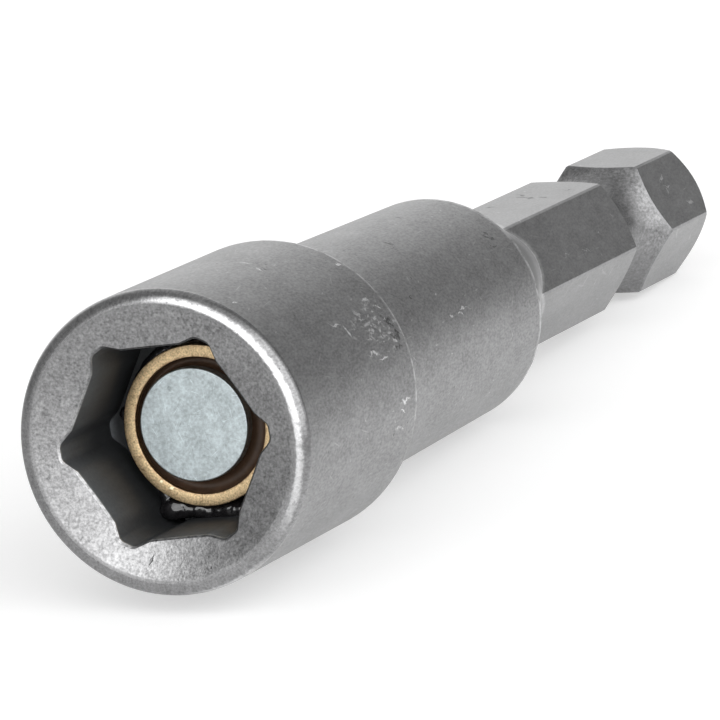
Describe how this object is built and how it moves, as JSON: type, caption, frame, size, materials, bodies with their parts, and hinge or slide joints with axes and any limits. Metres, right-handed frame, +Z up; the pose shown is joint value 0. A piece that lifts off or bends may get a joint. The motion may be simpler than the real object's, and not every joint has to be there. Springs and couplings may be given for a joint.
{
  "type": "magnetic nut setter",
  "caption": "Magnetic nut setter: a relieved hex socket with a sleeved magnet, a stepped barrel and a hex power shank with a round groove and chamfered end.",
  "frame": {"origin": "centre of the socket's mouth, on the tool's axis and level with the front face", "axes": "+Y along the tool from the mouth to the shank's end, +Z up out of a shank flat, +X out of a shank corner"},
  "size_m": [0.0132, 0.066, 0.0132],
  "materials": {
    "socket_steel": "fine blasted satin grey steel",
    "shank_steel": "smooth satin grey steel",
    "sleeve_brass": "matte turned brass",
    "magnet_plating": "dull nickel plating",
    "potting": "dark brown potting resin",
    "adhesive": "glossy black adhesive"
  },
  "bodies": {
    "root": {"socket_body": "socket_steel", "hex_shank": "shank_steel", "magnet_sleeve": "sleeve_brass", "magnet": "magnet_plating", "potting_ring": "potting", "adhesive_bead": "adhesive"}
  },
  "joints": []
}
